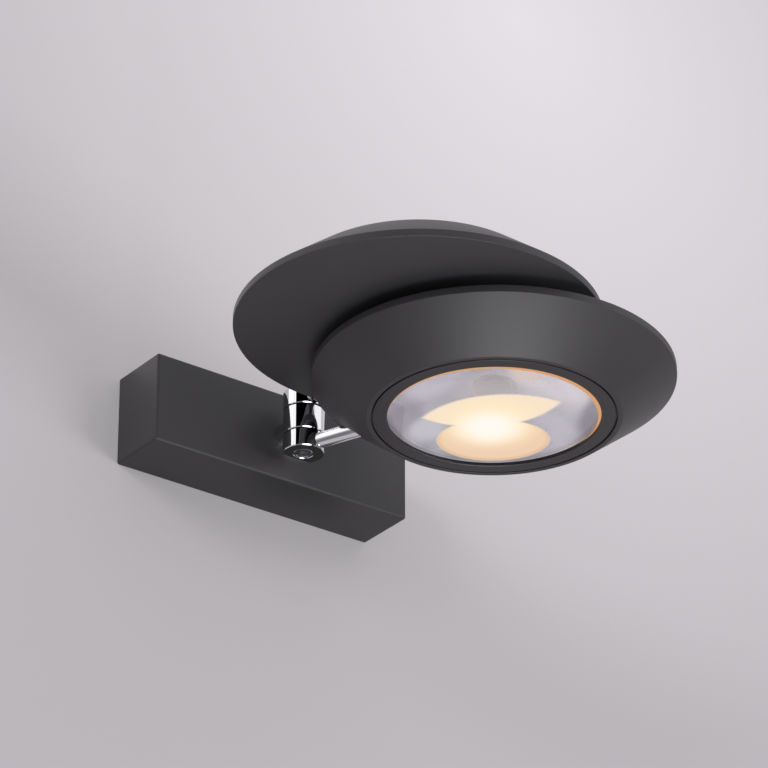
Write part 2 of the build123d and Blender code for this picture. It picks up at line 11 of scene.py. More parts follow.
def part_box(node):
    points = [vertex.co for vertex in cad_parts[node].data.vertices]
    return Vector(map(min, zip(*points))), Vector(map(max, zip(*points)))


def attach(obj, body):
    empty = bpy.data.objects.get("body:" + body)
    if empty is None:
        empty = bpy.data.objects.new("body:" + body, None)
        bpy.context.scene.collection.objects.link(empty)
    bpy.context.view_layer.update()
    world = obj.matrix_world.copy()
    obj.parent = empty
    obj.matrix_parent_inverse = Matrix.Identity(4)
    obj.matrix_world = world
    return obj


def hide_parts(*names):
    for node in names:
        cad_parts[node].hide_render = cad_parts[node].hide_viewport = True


bl_info = {
    "name": "Up-and-down wall light",
    "version": (1, 0, 0),
    "blender": (4, 5, 0),
    "location": "View3D > Sidebar > Wall light",
    "description": "Models the canopy, knuckle, arms and disc heads, their materials and a plain studio",
    "category": "Object",
}

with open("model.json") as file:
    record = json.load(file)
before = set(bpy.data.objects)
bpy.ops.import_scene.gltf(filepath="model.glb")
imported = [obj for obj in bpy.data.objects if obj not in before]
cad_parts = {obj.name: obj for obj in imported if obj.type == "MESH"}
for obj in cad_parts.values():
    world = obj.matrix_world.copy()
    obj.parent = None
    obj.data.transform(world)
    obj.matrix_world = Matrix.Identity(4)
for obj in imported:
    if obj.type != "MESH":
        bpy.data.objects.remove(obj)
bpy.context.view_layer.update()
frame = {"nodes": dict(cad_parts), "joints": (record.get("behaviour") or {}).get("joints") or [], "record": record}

MM = 0.001
AXIS_Y = frame["joints"][0]["pos_m"][1]
REST = {"upper": -5.5, "lower": 21.5}          # degrees from straight out, anticlockwise from above
HEAD_REACH = 108.5                             # mm, knuckle's axis to a head's axis
ARM_HEIGHT = 11.7                              # mm, above the knuckle's middle
RING_LOW, NOSE = (corner_point.z / MM for corner_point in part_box("upper_lens_ring"))
GLASS_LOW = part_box("upper_lens_gasket")[1].z / MM
GLASS_HIGH = GLASS_LOW + 3.0

# Radii and heights of the turned pieces, in millimetres.
BARREL_HALF = 6.5                              # half the height of the barrel's fixed middle
BARREL_END = 16.4                              # outer face of each hub
CHAMBER_RADIUS = 7.0                           # hollow in the barrel
PLATE_LOW = 2.75                               # flat face of a head, above the middle plane
RIM_LOW = 4.75                                 # seam between a head's plate and its housing
RIM_HIGH = 6.45                                # where the rim turns into the cone
NOSE_RADIUS = 61.2                             # the cone's top corner before it is rounded
RING_RADIUS = 57.9
APERTURE_RADIUS = 51.0                         # inside of the ring's lip
LENS_RADIUS = 54.0
CROWN_RADIUS = 50.6                            # domed part of the lens's outer face
BELLY_RADIUS = 49.0                            # and of its inner one
LENS_BULGE = 1.0                               # rise of each of the two
CHIP_LOW = 10.35                               # top of the light source's board
SCREW_SIDE = 40.0                              # canopy screws, to each side of the middle
SCREW_OUT = 9.0                                # and out from the wall

# The photograph's camera: its turn and height from straight in front, and its place in metres.
CAMERA_AZIMUTH = math.radians(-36.27)
CAMERA_ELEVATION = math.radians(-27.88)
CAMERA_BACK, CAMERA_RIGHT, CAMERA_UP = 2.1452, 0.0695, 0.03886
SENSOR_WIDTH = 36.0                            # mm
FOCAL_PIXELS = 4300
PHOTO_PIXELS = 768


# ---------------------------------------------------------------- sizes and colours

def linear(hex_code):
    """A colour written as sRGB hex, as linear red, green, blue and alpha."""
    def channel(start):
        value = int(hex_code[start:start + 2], 16) / 255
        return value / 12.92 if value <= 0.04045 else ((value + 0.055) / 1.055) ** 2.4
    return channel(1), channel(3), channel(5), 1.0


def length(name, description, millimetres):
    """A size that can be set, given in millimetres."""
    return bpy.props.FloatProperty(
        name=name, description=description, default=millimetres * MM, min=0.0, unit="LENGTH", precision=5)


def colour(name, description, hex_code):
    """A colour that can be set, given as sRGB hex."""
    return bpy.props.FloatVectorProperty(
        name=name, description=description, default=linear(hex_code), size=4, min=0.0, max=1.0,
        subtype="COLOR")


class LightSizes(bpy.types.PropertyGroup):
    """Sizes of the light's finished pieces and of the studio wall"""
    canopy_edge: length("Canopy edge", "Radius of the canopy's rounded edges", 1.2)
    canopy_wall: length("Canopy wall", "Thickness of the canopy's walls", 2.0)
    barrel_chamfer: length("Barrel chamfer", "Chamfer at the ends of the barrel's three parts", 0.35)
    barrel_radius: length("Barrel radius", "Radius of the knuckle's barrel", 10.25)
    arm_radius: length("Arm radius", "Radius of each arm's tube", 4.0)
    head_radius: length("Head radius", "Radius of each head at its rim", 87.5)
    nose_edge: length("Nose edge", "Radius of the rounded edge round the lens ring", 0.9)
    rim_edge: length("Rim edge", "Radius of the edges of the rim", 0.4)
    groove: length("Groove", "Width of the dark groove round the lens ring", 0.9)
    wall_span: length("Wall span", "Side of the studio wall behind the light", 6000.0)


class LightColours(bpy.types.PropertyGroup):
    """Colours of the light's finishes, of the light in its lenses and of the studio"""
    coat: colour("Coat", "Powder coat of the heads", "#3d3b3e")
    # The canopy has the heads' paint; its colour is set a little darker as painted shade.
    canopy_coat_shaded: colour("Canopy coat", "Powder coat of the canopy", "#393739")
    ring: colour("Ring", "Anodised lens rings", "#302e30")
    chrome: colour("Chrome", "Plated barrel and arms", "#e2e1e4")
    glow: colour("Glow", "Lit lens where it is brightest", "#fffaf0")
    halo: colour("Halo", "Lit lens round its brightest place", "#ffe9c0")
    cream: colour("Cream", "Outer lobe of light in the lens", "#f7e2c6")
    peach: colour("Peach", "Inner lobe of light in the lens", "#eccba9")
    deep_peach: colour("Deep peach", "Edge of the inner lobe", "#e2b98c")
    amber: colour("Amber", "Light caught in the lens's edge", "#d8995c")
    # The ground edge's grey is a painted glow of the source's light in it.
    ground_edge_glow: colour("Ground edge", "Ground edge of the lens", "#b4b0b4")
    wall: colour("Wall", "Studio wall", "#a29fa2")
    # A painted pool of light on the wall, not a lighter plaster.
    wall_light_pool: colour("Lighter wall", "Studio wall where it is brightest", "#c3c0c3")
    floor: colour("Floor", "Studio floor", "#6b696b")
    air: colour("Air", "Light from all round the studio", "#dddcdf")


def sizes():
    return bpy.context.scene.light_sizes


def colours():
    return bpy.context.scene.light_colours


# ---------------------------------------------------------------- modelling by hand, in code

def only(piece):
    """Make one piece the only one that is selected, and the active one."""
    bpy.ops.object.select_all(action="DESELECT")
    piece.select_set(True)
    bpy.context.view_layer.objects.active = piece


@contextmanager
def edit_mode(piece):
    """Work on one piece in edit mode."""
    only(piece)
    bpy.ops.object.mode_set(mode="EDIT")
    yield bmesh.from_edit_mesh(piece.data)
    bpy.ops.object.mode_set(mode="OBJECT")


def pick(mesh, kind, test):
    """Select only the vertices, edges or faces for which the test holds, by their middle."""
    bpy.ops.mesh.select_all(action="DESELECT")
    bpy.ops.mesh.select_mode(type=kind)
    for item in {"VERT": mesh.verts, "EDGE": mesh.edges, "FACE": mesh.faces}[kind]:
        if kind == "VERT":
            middle = item.co
        elif kind == "EDGE":
            middle = (item.verts[0].co + item.verts[1].co) / 2
        else:
            middle = item.calc_center_median()
        item.select_set(bool(test(middle, item)))
    mesh.select_flush_mode()


def place_applied(piece):
    """Put a piece's place into its mesh, so that its object sits at the origin."""
    only(piece)
    bpy.ops.object.transform_apply(location=True, rotation=True, scale=True)
    return piece


def new_piece(name):
    """Name the primitive that was just added."""
    piece = bpy.context.active_object
    piece.name = name
    piece.data.name = name
    return place_applied(piece)


def modify(piece, kind, **settings):
    """Add a modifier and apply it."""
    only(piece)
    modifier = piece.modifiers.new(kind.title(), kind)
    for key, value in settings.items():
        setattr(modifier, key, value)
    bpy.ops.object.modifier_apply(modifier=modifier.name)


def cut(piece, tool):
    """Cut one piece with another, which is used up."""
    modify(piece, "BOOLEAN", operation="DIFFERENCE", object=tool, solver="EXACT")
    bpy.data.objects.remove(tool)


def smooth(piece, angle=28):
    """Shade smooth except at real edges."""
    only(piece)
    bpy.ops.object.shade_smooth_by_angle(angle=math.radians(angle))


def turn(name, outline, steps=144):
    """A turned piece about Z: a circle extruded and resized along its half section, in millimetres.

    An outline that starts or ends on the axis is capped there, and any other closes on itself."""
    on_axis = outline[0][0] == 0
    points = outline[1:] if on_axis else outline + outline[:1]
    radius, height = points[0]
    bpy.ops.object.select_all(action="DESELECT")
    bpy.ops.mesh.primitive_circle_add(vertices=steps, radius=radius * MM, location=(0, 0, height * MM))
    piece = new_piece(name)
    with edit_mode(piece):
        bpy.ops.mesh.select_all(action="SELECT")
        if on_axis:
            bpy.ops.mesh.select_mode(type="EDGE")
        for next_radius, next_height in points[1:]:
            rise = (0, 0, (next_height - height) * MM)
            bpy.ops.mesh.extrude_edges_move(TRANSFORM_OT_translate={"value": rise})
            share = next_radius / radius
            bpy.ops.transform.resize(value=(share, share, 1), center_override=(0, 0, next_height * MM))
            radius, height = next_radius, next_height
        bpy.ops.mesh.select_all(action="SELECT")
        bpy.ops.mesh.remove_doubles(threshold=1e-7)
        bpy.ops.mesh.fill_holes(sides=0)
        bpy.ops.mesh.select_all(action="SELECT")
        bpy.ops.mesh.normals_make_consistent(inside=False)
    return piece


def corner(before, middle, after, radius, steps=4):
    """The points of a rounded corner of an outline."""
    here = Vector(middle)
    back = (Vector(before) - here).normalized()
    ahead = (Vector(after) - here).normalized()
    half = back.angle(ahead) / 2
    centre = here + (back + ahead).normalized() * radius / math.sin(half)
    first = here + back * radius / math.tan(half) - centre
    last = here + ahead * radius / math.tan(half) - centre
    points = []
    for step in range(steps + 1):
        share = step / steps
        spoke = first.lerp(last, share).normalized() * radius
        points.append(tuple(centre + spoke))
    return points


def copy_of(piece, name):
    """A copy with its own mesh."""
    other = piece.copy()
    other.data = piece.data.copy()
    other.name = name
    other.data.name = name
    bpy.context.scene.collection.objects.link(other)
    return other


def finished(piece, body, material, replaces=(), angle=28):
    """Shade, paint and attach a finished piece."""
    smooth(piece, angle)
    piece.data.materials.clear()
    piece.data.materials.append(material)
    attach(piece, body)
    if replaces:
        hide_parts(*replaces)
    return piece


def to_head(piece, side):
    """Move a piece drawn about Z to its head's axis, and turn it as that head rests."""
    turned = Matrix.Rotation(math.radians(REST[side]), 4, "Z")
    flipped = Matrix.Scale(1 if side == "upper" else -1, 4, (0, 0, 1))
    knuckle = Matrix.Translation((0, AXIS_Y, 0))
    piece.matrix_world = knuckle @ turned @ Matrix.Translation((0, -HEAD_REACH * MM, 0)) @ flipped
    place_applied(piece)
    with edit_mode(piece):
        bpy.ops.mesh.select_all(action="SELECT")
        bpy.ops.mesh.normals_make_consistent(inside=False)
    return piece


def head_pair(piece, node, materials, angle=28):
    """Place a piece of a head on both heads, where it stands for its CAD node."""
    for side in ("upper", "lower"):
        each = to_head(copy_of(piece, side + "_" + piece.name), side)
        material = materials[side] if isinstance(materials, dict) else materials
        finished(each, side + "_head", material, [side + "_" + node], angle)
    bpy.data.objects.remove(piece)


def head_centre(side):
    """Where a head's axis meets the middle plane, in metres."""
    angle = math.radians(REST[side])
    reach = HEAD_REACH * MM
    return Vector((reach * math.sin(angle), AXIS_Y - reach * math.cos(angle), 0))


# ---------------------------------------------------------------- materials

def node(tree, kind, inputs=None, **settings):
    """Add one shader node with its settings, and set or link its inputs."""
    made = tree.nodes.new(kind)
    for key, value in settings.items():
        setattr(made, key, value)
    for key, value in (inputs or {}).items():
        if isinstance(value, bpy.types.NodeSocket):
            tree.links.new(value, made.inputs[key])
        else:
            made.inputs[key].default_value = value
    return made


def start_material(name):
    """A new material with its shader, and the object coordinates that its patterns read."""
    made = bpy.data.materials.new(name)
    made.use_nodes = True
    tree = made.node_tree
    where = node(tree, "ShaderNodeTexCoord").outputs["Object"]
    return made, tree, tree.nodes["Principled BSDF"], where


def blended(tree, factor, low, high):
    """A colour between two, by a factor."""
    ramp = node(tree, "ShaderNodeValToRGB", {"Fac": factor})
    ramp.color_ramp.elements[0].color = low
    ramp.color_ramp.elements[1].color = high
    ramp.color_ramp.elements[0].position = 0.3
    ramp.color_ramp.elements[1].position = 0.7
    return ramp.outputs["Color"]


def lightened(shade, amount):
    """A colour made lighter or darker by a factor."""
    return tuple(min(1.0, part * amount) for part in shade[:3]) + (1.0,)


def over(tree, mask, below, above):
    """One colour laid over another by a mask."""
    mixed = node(tree, "ShaderNodeMix", {0: mask, 6: below, 7: above}, data_type="RGBA")
    return mixed.outputs[2]


def powder_coat(name, coat):
    """Satin powder coat on metal: a dull, slightly pebbled sheen."""
    made, tree, shader, where = start_material(name)
    # The real pebbles are 0.2 mm across, too fine to show, so they are drawn at 0.7 mm.
    pebbles = node(tree, "ShaderNodeTexNoise", {"Vector": where, "Scale": 1000 / 0.7, "Detail": 2.0})
    drift = node(tree, "ShaderNodeTexNoise", {"Vector": where, "Scale": 1000 / 45, "Detail": 3.0})
    base = blended(tree, drift.outputs["Fac"], lightened(coat, 0.93), lightened(coat, 1.07))
    gloss = node(tree, "ShaderNodeMapRange", {"Value": drift.outputs["Fac"], "To Min": 0.46, "To Max": 0.54})
    bump = node(tree, "ShaderNodeBump",
                {"Height": pebbles.outputs["Fac"], "Strength": 0.12, "Distance": 0.02 * MM})
    tree.links.new(base, shader.inputs["Base Color"])
    tree.links.new(gloss.outputs["Result"], shader.inputs["Roughness"])
    tree.links.new(bump.outputs["Normal"], shader.inputs["Normal"])
    shader.inputs["Specular IOR Level"].default_value = 0.35
    return made


def anodised_ring(side):
    """Dark anodised aluminium, turned: fine rings about its own axis that draw the sheen out."""
    made, tree, shader, where = start_material(side + "_anodised_ring")
    centred = node(tree, "ShaderNodeMapping", {"Vector": where, "Location": -head_centre(side)})
    # Turning marks are 0.1 mm apart, and drawn at 0.5 mm so that they show.
    marks = node(tree, "ShaderNodeTexWave", {"Vector": centred.outputs["Vector"], "Scale": 1000 / 0.5 / 20,
                                             "Distortion": 0.6, "Detail": 1.0},
                 wave_type="RINGS", rings_direction="Z")
    ring = tuple(colours().ring)
    base = blended(tree, marks.outputs["Fac"], lightened(ring, 0.94), lightened(ring, 1.06))
    bump = node(tree, "ShaderNodeBump",
                {"Height": marks.outputs["Fac"], "Strength": 0.1, "Distance": 0.01 * MM})
    tree.links.new(base, shader.inputs["Base Color"])
    tree.links.new(bump.outputs["Normal"], shader.inputs["Normal"])
    shader.inputs["Metallic"].default_value = 0.35
    shader.inputs["Roughness"].default_value = 0.4
    return made


def plated(name, shade, roughness, wander, grain):
    """Bright metal whose gloss wanders a little from place to place."""
    made, tree, shader, where = start_material(name)
    cloud = node(tree, "ShaderNodeTexNoise", {"Vector": where, "Scale": 1000 / grain, "Detail": 3.0})
    gloss = node(tree, "ShaderNodeMapRange",
                 {"Value": cloud.outputs["Fac"], "To Min": roughness, "To Max": roughness + wander})
    base = blended(tree, cloud.outputs["Fac"], lightened(shade, 0.97), lightened(shade, 1.02))
    tree.links.new(base, shader.inputs["Base Color"])
    tree.links.new(gloss.outputs["Result"], shader.inputs["Roughness"])
    shader.inputs["Metallic"].default_value = 1.0
    return made


def chrome_plate():
    """Polished chrome plate: a mirror with hardly any haze."""
    return plated("polished_chrome_plate", tuple(colours().chrome), 0.03, 0.03, 9)


def turned_steel():
    """Turned stainless steel of the bolt and its nut: bright but hazier than the chrome."""
    return plated("turned_stainless_steel", linear("#b8b8ba"), 0.18, 0.1, 3)


def zinc_steel():
    """Zinc-plated steel sheet: dull silver with a cloudy spangle some millimetres across."""
    return plated("zinc_plated_steel", linear("#b4b7ba"), 0.32, 0.2, 5)


def cast_aluminium():
    """Die-cast aluminium of the heat sink: pale grey, matt."""
    return plated("die_cast_aluminium", linear("#b0b1b3"), 0.45, 0.15, 2)


def brass():
    """Plain turned brass, a little dulled."""
    return plated("turned_brass", linear("#c9a45c"), 0.25, 0.12, 3)


def blackened_steel():
    """Blackened steel of the canopy's screws: nearly black with a faint metal sheen."""
    return plated("blackened_steel", linear("#2a2a2b"), 0.3, 0.12, 2)


def moulded(name, shade, roughness, grain):
    """Moulded plastic or rubber with a fine spark-eroded grain, the grain in millimetres."""
    made, tree, shader, where = start_material(name)
    fine = node(tree, "ShaderNodeTexNoise", {"Vector": where, "Scale": 1000 / grain, "Detail": 2.0})
    base = blended(tree, fine.outputs["Fac"], lightened(shade, 0.95), lightened(shade, 1.03))
    bump = node(tree, "ShaderNodeBump",
                {"Height": fine.outputs["Fac"], "Strength": 0.2, "Distance": 0.02 * MM})
    tree.links.new(base, shader.inputs["Base Color"])
    tree.links.new(bump.outputs["Normal"], shader.inputs["Normal"])
    shader.inputs["Roughness"].default_value = roughness
    return made


def ellipse(tree, where, middle, semi_axes, turned=0.0, soft=0.03):
    """A mask that is 1 inside an ellipse on a lens and 0 outside it, its middle and semi-axes in metres."""
    placed = node(tree, "ShaderNodeMapping", {
        "Vector": where, "Location": (*middle, 0), "Scale": (*semi_axes, 1), "Rotation": (0, 0, turned)},
        vector_type="TEXTURE")
    reach = node(tree, "ShaderNodeVectorMath", {0: placed.outputs["Vector"]}, operation="LENGTH")
    mask = node(tree, "ShaderNodeMapRange", {
        "Value": reach.outputs["Value"], "From Min": 1 + soft, "From Max": 1 - soft},
        interpolation_type="SMOOTHSTEP")
    return mask.outputs["Result"]


def lobe(tree, where, side, right, forward, half_width, half_depth, turned=0.0, soft=0.03):
    """An ellipse on a head's lens, in millimetres right and forward of its axis as the photograph looks."""
    across = Vector((math.cos(CAMERA_AZIMUTH), math.sin(CAMERA_AZIMUTH)))
    ahead = Vector((-math.sin(CAMERA_AZIMUTH), math.cos(CAMERA_AZIMUTH)))
    middle = head_centre(side).to_2d() + (across * right + ahead * forward) * MM
    return ellipse(tree, where, middle, (half_width * MM, half_depth * MM),
                   CAMERA_AZIMUTH + math.radians(turned), soft)


def from_axis(tree, where, side):
    """How far a point is from a head's axis, in metres."""
    centred = node(tree, "ShaderNodeMapping", {"Vector": where, "Location": -head_centre(side)})
    flat = node(tree, "ShaderNodeVectorMath", {0: centred.outputs["Vector"], 1: (1, 1, 0)},
                operation="MULTIPLY")
    reach = node(tree, "ShaderNodeVectorMath", {0: flat.outputs["Vector"]}, operation="LENGTH")
    return reach.outputs["Value"]


def lit_glass(side):
    """Polished glass of a lit lens: clear, with painted light on it: two warm lobes and a white one that stand in
    for the light source seen through it, a painted amber rim of caught light and a glowing ground edge.
    """
    made, tree, shader, where = start_material(side + "_polished_glass_lit")
    # Each mask: how far right and forward of the axis, half its width and depth, its turn and its softness.
    # The outer lobe is where two circles overlap.
    wing_front = lobe(tree, where, side, 5.3, 21.0, 44.2, 44.2)
    wing_back = lobe(tree, where, side, -8.3, -33.3, 43.3, 43.3)
    outer = node(tree, "ShaderNodeMath", {0: wing_front, 1: wing_back}, operation="MINIMUM").outputs[0]
    inner = lobe(tree, where, side, 0, 24.5, 27, 22.5)
    inner_core = lobe(tree, where, side, 0, 23.4, 25.8, 21.0, 0, 0.07)
    halo = lobe(tree, where, side, -2, 6.5, 21, 23, 0, 0.5)
    hot = lobe(tree, where, side, -2.1, 10, 13, 14, 0, 0.7)
    clear_face = lobe(tree, where, side, -0.8, 2.6, 50.4, 50.4, 0, 0.008)
    either = node(tree, "ShaderNodeMath", {0: outer, 1: inner}, operation="MAXIMUM").outputs[0]
    height = node(tree, "ShaderNodeSeparateXYZ", {0: where}).outputs["Z"]
    depth = node(tree, "ShaderNodeMath", {0: height, 1: 0.0}, operation="ABSOLUTE").outputs[0]
    outside = node(tree, "ShaderNodeMath", {0: depth, 1: (GLASS_LOW + 1.3) * MM}, operation="GREATER_THAN")
    behind = node(tree, "ShaderNodeNewGeometry").outputs["Backfacing"]
    outside = node(tree, "ShaderNodeMath", {0: outside.outputs[0], 1: behind},
                   operation="SUBTRACT", use_clamp=True)
    lit_face = node(tree, "ShaderNodeMath", {0: either, 1: outside.outputs[0]},
                    operation="MULTIPLY").outputs[0]
    # The ground edge starts just outside the belly on the inner face, and farther out towards the outer one.
    slope = 1.2
    ground_start = BELLY_RADIUS + 0.1 - slope * GLASS_LOW
    bevel = node(tree, "ShaderNodeMath", {0: depth, 1: slope, 2: ground_start * MM},
                 operation="MULTIPLY_ADD").outputs[0]
    ground = node(tree, "ShaderNodeMath", {0: from_axis(tree, where, side), 1: bevel},
                  operation="GREATER_THAN")
    # Painted light: the lobes, hot spot and amber rim are emission laid on the glass, standing in for the source's
    # light seen through it.
    light = over(tree, inner_core, tuple(colours().deep_peach), tuple(colours().peach))
    light = over(tree, inner, tuple(colours().cream), light)
    light = over(tree, halo, light, tuple(colours().halo))
    light = over(tree, hot, light, tuple(colours().glow))
    painted_emission = over(tree, lit_face, (0.0, 0.0, 0.0, 1.0), light)
    painted_emission = over(tree, clear_face, tuple(colours().amber), painted_emission)
    # Painted glow: the ground edge shines light grey by itself.
    painted_emission = over(tree, ground.outputs[0], painted_emission, tuple(colours().ground_edge_glow))
    tree.links.new(painted_emission, shader.inputs["Emission Color"])
    shader.inputs["Emission Strength"].default_value = 0.94
    covered = node(tree, "ShaderNodeMath", {0: clear_face, 1: lit_face}, operation="SUBTRACT", use_clamp=True)
    covered = node(tree, "ShaderNodeMath", {
        0: covered.outputs[0], 1: ground.outputs[0]}, operation="SUBTRACT", use_clamp=True)
    tree.links.new(covered.outputs[0], shader.inputs["Transmission Weight"])
    base = over(tree, covered.outputs[0], linear("#2a241f"), linear("#fbfbfd"))
    tree.links.new(base, shader.inputs["Base Color"])
    haze = node(tree, "ShaderNodeTexNoise", {"Vector": where, "Scale": 1000 / 20, "Detail": 2.0})
    gloss = node(tree, "ShaderNodeMapRange", {"Value": haze.outputs["Fac"], "To Min": 0.0, "To Max": 0.03})
    tree.links.new(gloss.outputs["Result"], shader.inputs["Roughness"])
    shader.inputs["IOR"].default_value = 1.5
    return made


def lit(name, shade, strength, grain=4):
    """A face that glows almost evenly: the light source itself, or a painted glow of its light on a face near it.
    """
    made, tree, shader, where = start_material(name)
    cloud = node(tree, "ShaderNodeTexNoise", {"Vector": where, "Scale": 1000 / grain})
    glow = blended(tree, cloud.outputs["Fac"], lightened(shade, 0.97), shade)
    tree.links.new(glow, shader.inputs["Base Color"])
    tree.links.new(glow, shader.inputs["Emission Color"])
    shader.inputs["Emission Strength"].default_value = strength
    shader.inputs["Roughness"].default_value = 0.5
    return made


def reflector_metal(side):
    """Bright-anodised reflector: a soft, uneven mirror with a painted glow for the light of the source that it
    stands round, and painted reflections.
    """
    made, tree, shader, where = start_material(side + "_bright_anodised_reflector")
    # Painted glow: warmer and brighter near the light source.
    painted_source_glow = node(tree, "ShaderNodeMapRange", {
        "Value": from_axis(tree, where, side), "From Min": 26 * MM, "From Max": 12 * MM},
        interpolation_type="SMOOTHSTEP")
    cloud = node(tree, "ShaderNodeTexNoise", {"Vector": where, "Scale": 1000 / 22, "Detail": 1.5})
    base = blended(tree, cloud.outputs["Fac"], linear("#7a777e"), linear("#a9a6ac"))
    painted_emission = blended(tree, cloud.outputs["Fac"], linear("#8a878d"), linear("#a5a2a8"))
    painted_emission = over(tree, painted_source_glow.outputs["Result"], painted_emission, linear("#aca5a6"))
    # Painted reflections: soft light and dark patches of what the lit mirror would show, placed as the lens's
    # lobes are.
    for right, forward, half_width, half_depth, turned, shade in (
            (27, -20, 18, 26, -25, "#cfcaca"),
            (15, -24, 7, 16, 10, "#e2cab8"),
            (-30, -18, 14, 14, 20, "#b7b1b8"),
            (-43, 9, 9, 17, -8, "#77727a"),
            (-31, 22, 9, 10, 20, "#bcbabf"),
            (48, 4, 6, 24, 10, "#625e63")):
        painted_reflection = lobe(tree, where, side, right, forward, half_width, half_depth, turned, 0.45)
        painted_emission = over(tree, painted_reflection, painted_emission, linear(shade))
    gloss = node(tree, "ShaderNodeMapRange", {"Value": cloud.outputs["Fac"], "To Min": 0.16, "To Max": 0.34})
    tree.links.new(base, shader.inputs["Base Color"])
    tree.links.new(painted_emission, shader.inputs["Emission Color"])
    tree.links.new(gloss.outputs["Result"], shader.inputs["Roughness"])
    shader.inputs["Emission Strength"].default_value = 0.8
    shader.inputs["Metallic"].default_value = 1.0
    return made


def solder_mask():
    """White solder mask on the light source's board, with a painted glow for the source's light on it."""
    return lit("white_solder_mask_painted_glow", linear("#c4bebc"), 0.5)


def cad_finish(slot):
    """The finish of a node that keeps its CAD shape, by the record's slot."""
    makers = {
        "zinc_steel": zinc_steel,
        "brass": brass,
        "chrome": chrome_plate,
        "steel_bolt": turned_steel,
        "heatsink": cast_aluminium,
        "board_white": solder_mask,
        "black_rubber": lambda: moulded("matt_black_rubber", linear("#1d1d1d"), 0.7, 0.8),
        "driver_plastic": lambda: moulded("white_moulded_plastic", linear("#e4e3de"), 0.45, 1.2),
        "terminal_plastic": lambda: moulded("ivory_moulded_nylon", linear("#d8d3c4"), 0.5, 1.0),
        "nylon": lambda: moulded("black_nylon", linear("#242424"), 0.45, 0.8),
    }
    return makers[slot]()


# ---------------------------------------------------------------- the pieces

class LIGHT_OT_canopy(bpy.types.Operator):
    """Box on the wall: rounded outside edges, open back, countersunk holes and its two screws"""
    bl_idname = "light.canopy"
    bl_label = "Canopy"

    def execute(self, context):
        low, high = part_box("canopy")
        wall = sizes().canopy_wall
        bpy.ops.object.select_all(action="DESELECT")
        bpy.ops.mesh.primitive_cube_add(size=1, location=(low + high) / 2, scale=high - low)
        shell = new_piece("canopy_shell")
        with edit_mode(shell) as mesh:
            pick(mesh, "EDGE", lambda middle, edge: middle.y < high.y - 1e-5)
            bpy.ops.mesh.bevel(offset=sizes().canopy_edge, segments=5, affect="EDGES")
        room = high - low - Vector((2 * wall, 0, 2 * wall))
        bpy.ops.mesh.primitive_cube_add(size=1, location=(low + high) / 2 + Vector((0, wall, 0)), scale=room)
        cut(shell, new_piece("room"))
        bpy.ops.mesh.primitive_cylinder_add(vertices=48, radius=5.2 * MM, depth=6 * MM,
                                            location=(0, low.y, 0), rotation=(math.pi / 2, 0, 0))
        cut(shell, new_piece("stem_hole"))
        black = blackened_steel()
        screws = []
        for side in (-1, 1):
            spot = Vector((side * SCREW_SIDE * MM, -SCREW_OUT * MM, 0))
            screw = turn("screw", [(0, 17.5), (1.5, 17.5), (1.5, 22.1), (2.9, 23.5), (0, 23.5)], 48)
            screw.location = spot
            place_applied(screw)
            hole = turn("hole", [(0, 16), (1.6, 16), (1.6, 22.0), (3.15, 23.6), (0, 23.6)], 48)
            hole.location = spot
            place_applied(hole)
            cut(shell, hole)
            for turned_by in (0, 90):
                bpy.ops.mesh.primitive_cube_add(size=1, location=spot + Vector((0, 0, 23.3 * MM)),
                                                scale=(3.2 * MM, 0.7 * MM, 1.6 * MM),
                                                rotation=(0, 0, math.radians(turned_by)))
                cut(screw, new_piece("recess"))
            screws.append(screw)
        bpy.ops.object.select_all(action="DESELECT")
        for screw in screws:
            screw.select_set(True)
        bpy.context.view_layer.objects.active = screws[0]
        bpy.ops.object.join()
        screws[0].name = "canopy_screw_pair"
        # Painted shade: the canopy's coat is the heads' paint made a little darker.
        coat = powder_coat("satin_powder_coat_on_steel_shaded", tuple(colours().canopy_coat_shaded))
        finished(shell, "wall_mount", coat, ["canopy"])
        finished(screws[0], "wall_mount", black, ["canopy_screws"])
        return {"FINISHED"}


class LIGHT_OT_knuckle(bpy.types.Operator):
    """Chrome barrel: its fixed middle, the stem behind it and the socket-head bolt"""
    bl_idname = "light.knuckle"
    bl_label = "Knuckle"

    def execute(self, context):
        chrome = chrome_plate()
        radius = sizes().barrel_radius / MM
        edge = sizes().barrel_chamfer / MM
        to_axis = Matrix.Translation((0, AXIS_Y, 0))
        middle = turn("barrel_middle", [
            (9.2, -BARREL_HALF), (radius - edge, -BARREL_HALF), (radius, -BARREL_HALF + edge),
            (radius, BARREL_HALF - edge), (radius - edge, BARREL_HALF), (9.2, BARREL_HALF), (9.2, 6.2),
            (CHAMBER_RADIUS, 6.2), (CHAMBER_RADIUS, -6.2), (9.2, -6.2)])
        middle.matrix_world = to_axis
        finished(place_applied(middle), "wall_mount", chrome, ["knuckle_middle"], 20)
        bolt = turn("socket_bolt", [
            (0, -16.0), (3.9, -16.0), (4.3, -15.9), (4.6, -15.6), (4.6, -13.3), (2.5, -13.3),
            (2.5, 16.0), (0, 16.0)], 72)
        bpy.ops.mesh.primitive_cylinder_add(vertices=6, radius=4 / math.sqrt(3) * MM, depth=3.2 * MM,
                                            location=(0, 0, -16 * MM))
        cut(bolt, new_piece("socket"))
        bolt.matrix_world = to_axis
        finished(place_applied(bolt), "wall_mount", turned_steel(), ["knuckle_bolt"])
        stem = turn("stem_nipple", [
            (3, 23), (5, 23), (5, 34), (6, 34), (6, 42.6), (4, 42.6), (4, 44), (3, 44)], 72)
        stem.matrix_world = Matrix.Rotation(math.radians(90), 4, "X")
        finished(place_applied(stem), "wall_mount", chrome, ["stem"])
        return {"FINISHED"}


